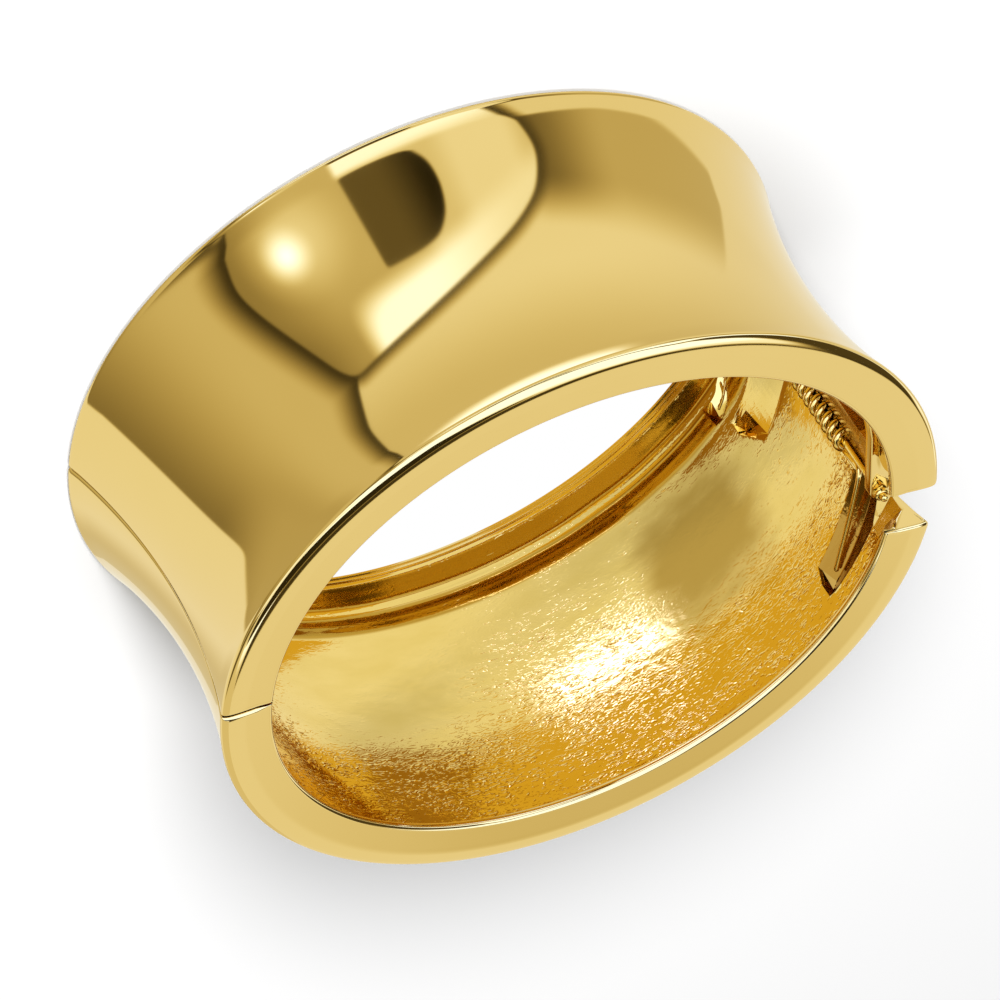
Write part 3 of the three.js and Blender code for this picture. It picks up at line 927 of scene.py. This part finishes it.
def studio_world():
    """Pale, even light on the floor. What mirrors in the metal is a set of soft cards and flags."""
    world = bpy.data.worlds.new("studio")
    world.use_nodes = True
    tree = world.node_tree
    tree.nodes.clear()
    place = tree.nodes.new("ShaderNodeTexCoord")
    split = tree.nodes.new("ShaderNodeSeparateXYZ")
    tree.links.new(place.outputs["Generated"], split.inputs[0])
    x, y, z = (Signal(tree, split.outputs[k]) for k in range(3))
    degrees = 180 / math.pi
    azimuth = x.math("ARCTAN2", y) * degrees
    elevation = z.math("ARCSINE") * degrees
    level = studio_level(azimuth, elevation * ELEVATION_STRETCH + ELEVATION_SHIFT)
    # The darker a card is, the browner it is.
    square = level * level
    colour = tree.nodes.new("ShaderNodeCombineColor")
    for channel, value in zip(colour.inputs, (level, level * 0.77 + square * level * 0.23,
                                              level * 0.36 + square * square * 0.64)):
        tree.links.new(value.socket, channel)
    mirrored = tree.nodes.new("ShaderNodeBackground")
    tree.links.new(colour.outputs[0], mirrored.inputs["Color"])
    plain = tree.nodes.new("ShaderNodeBackground")
    plain.inputs["Color"].default_value = (1, 1, 1, 1)
    plain.inputs["Strength"].default_value = 0.22
    kind = tree.nodes.new("ShaderNodeLightPath")
    mix = tree.nodes.new("ShaderNodeMixShader")
    out = tree.nodes.new("ShaderNodeOutputWorld")
    direct = Signal(tree, kind.outputs["Diffuse Depth"]).fade(0.2, 0.8)
    seen = direct * Signal(tree, kind.outputs["Is Glossy Ray"])
    tree.links.new(seen.socket, mix.inputs["Fac"])
    tree.links.new(plain.outputs[0], mix.inputs[1])
    tree.links.new(mirrored.outputs[0], mix.inputs[2])
    tree.links.new(mix.outputs[0], out.inputs["Surface"])
    world.cycles.sampling_method = "NONE"
    bpy.context.scene.world = world


def floor_material():
    material, tree, shader = node_setup("pale_floor")
    shader.inputs["Base Color"].default_value = (0.93, 0.93, 0.93, 1)
    shader.inputs["Roughness"].default_value = 0.9
    shader.inputs["Specular IOR Level"].default_value = 0.0
    return material


def add_floor():
    size = 3.0
    corners = [(-size, -size, 0), (size, -size, 0), (size, size, 0), (-size, size, 0)]
    mesh = bpy.data.meshes.new("floor")
    mesh.from_pydata(corners, [], [(0, 1, 2, 3)])
    mesh.materials.append(floor_material())
    floor = bpy.data.objects.new("floor", mesh)
    floor.location.z = CAD_BOX[0].z - FLOOR_DROP
    floor.visible_glossy = False
    bpy.context.scene.collection.objects.link(floor)
    floor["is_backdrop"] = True


def glowing_sheet_material():
    """Glows white to the camera near the lower half's foot, painted light over the floor's shade there; clear
    further in.

    What mirrors in the cast inside is a painted reflection: a white spot of painted highlight and a golden
    surround with a brown side of painted shade.
    """
    material = bpy.data.materials.new("opening_sheet")
    material.use_nodes = True
    tree = material.node_tree
    tree.nodes.clear()
    place = tree.nodes.new("ShaderNodeTexCoord")
    split = tree.nodes.new("ShaderNodeSeparateXYZ")
    tree.links.new(place.outputs["Object"], split.inputs[0])
    x, y = (Signal(tree, split.outputs[k]) / MM for k in range(2))
    pale = card(x, y, [(15, -4), (12, 1.5), (8, 5), (3, 5), (-2, 2.7), (-5, -3.3), (-5.5, -11), (-3, -26),
                       (3, -29), (11.5, -20), (14.5, -12)], 2).fade(-0.4, 0.4)
    # Painted light for the inside to mirror: a pale patch, a white spot of painted highlight, and a golden
    # surround with a brown side of painted shade and a yellow corner.
    level = mound(x, y, (11, -13), (7, 9)).fade(0.2, 1.2) * -0.2 + 0.95
    highlight_spot = mound(x, y, (5.4, 1), (4.5, 3.3)).fade(0.5, 1.1)
    shade_side = x.fade(12.5, 11) * (y + 8).math("ABSOLUTE").fade(7.5, 9.5)
    yellow = y.fade(-28, -24) * x.fade(10, 8)
    channels = []
    for orange, dark, bright, glare in SHEET_GLOW_TONES:
        surround = lay(lay(yellow * 0 + orange, bright, yellow), dark, shade_side)
        channels.append(lay(lay(surround, level, pale), glare, highlight_spot))
    colour = tree.nodes.new("ShaderNodeCombineColor")
    for socket, value in zip(colour.inputs, channels):
        tree.links.new(value.socket, socket)
    # The sheet glows though it is no lamp: painted light.
    mirrored = tree.nodes.new("ShaderNodeEmission")
    white = tree.nodes.new("ShaderNodeEmission")
    clear = tree.nodes.new("ShaderNodeBsdfTransparent")
    kind = tree.nodes.new("ShaderNodeLightPath")
    seen = tree.nodes.new("ShaderNodeMixShader")
    mix = tree.nodes.new("ShaderNodeMixShader")
    out = tree.nodes.new("ShaderNodeOutputMaterial")
    tree.links.new(y.fade(-13, -7).socket, seen.inputs["Fac"])
    tree.links.new(clear.outputs[0], seen.inputs[1])
    tree.links.new(white.outputs[0], seen.inputs[2])
    tree.links.new(colour.outputs[0], mirrored.inputs["Color"])
    tree.links.new(kind.outputs["Is Camera Ray"], mix.inputs["Fac"])
    tree.links.new(mirrored.outputs[0], mix.inputs[1])
    tree.links.new(seen.outputs[0], mix.inputs[2])
    tree.links.new(mix.outputs[0], out.inputs["Surface"])
    return material


def add_glowing_sheet():
    """Thin glowing sheet on the floor in the ring's opening, painted light; its edge is hidden under the rim.
    """
    angles = np.radians(np.arange(0, 360, 3))
    x, y = oval(angles, SHEET_OFFSET)
    points = np.stack([x, y, np.zeros_like(x)], -1) * MM
    mesh = bpy.data.meshes.new("opening_sheet")
    mesh.from_pydata(points.tolist(), [], [tuple(range(len(points)))])
    mesh.materials.append(glowing_sheet_material())
    sheet = bpy.data.objects.new("opening_sheet", mesh)
    sheet.location.z = CAD_BOX[0].z - SHEET_DROP
    sheet.visible_diffuse = False
    sheet.visible_shadow = False
    bpy.context.scene.collection.objects.link(sheet)
    sheet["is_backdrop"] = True


def add_lamp(name, place, size, watts):
    """Round lamp aimed at the bangle that doesn't mirror in it."""
    light = bpy.data.lights.new(name, "AREA")
    light.shape = "DISK"
    light.size = size
    light.energy = watts
    lamp = bpy.data.objects.new(name, light)
    lamp.location = place
    lamp.rotation_euler = (-Vector(place)).to_track_quat("-Z", "Y").to_euler()
    lamp.visible_glossy = False
    bpy.context.scene.collection.objects.link(lamp)


def add_camera():
    """Long lens from above and behind the bangle, turned so that the hinge is at the lower right."""
    azimuth, elevation, roll = (math.radians(t) for t in (202.326, 37.122, 146.940))
    distance, aim = 856.1, Vector((-0.79, -1.20, 17.78))
    back = Vector((math.sin(azimuth) * math.cos(elevation), -math.cos(azimuth) * math.cos(elevation),
                   math.sin(elevation)))
    level = Vector((math.cos(azimuth), math.sin(azimuth), 0))
    upright = back.cross(level)
    right = math.cos(roll) * level + math.sin(roll) * upright
    above = back.cross(right)
    data = bpy.data.cameras.new("camera")
    data.lens, data.sensor_width = 346.92, 36.0
    data.clip_start, data.clip_end = 0.01, 20.0
    camera = bpy.data.objects.new("camera", data)
    camera.matrix_world = Matrix((right, above, back)).transposed().to_4x4()
    camera.location = (aim + back * distance) * MM
    bpy.context.scene.collection.objects.link(camera)
    bpy.context.scene.camera = camera


studio_world()
add_floor()
add_glowing_sheet()
for lamp in LAMPS:
    add_lamp(*lamp)
add_camera()
bpy.context.scene.view_settings.view_transform = "Standard"

low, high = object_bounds()
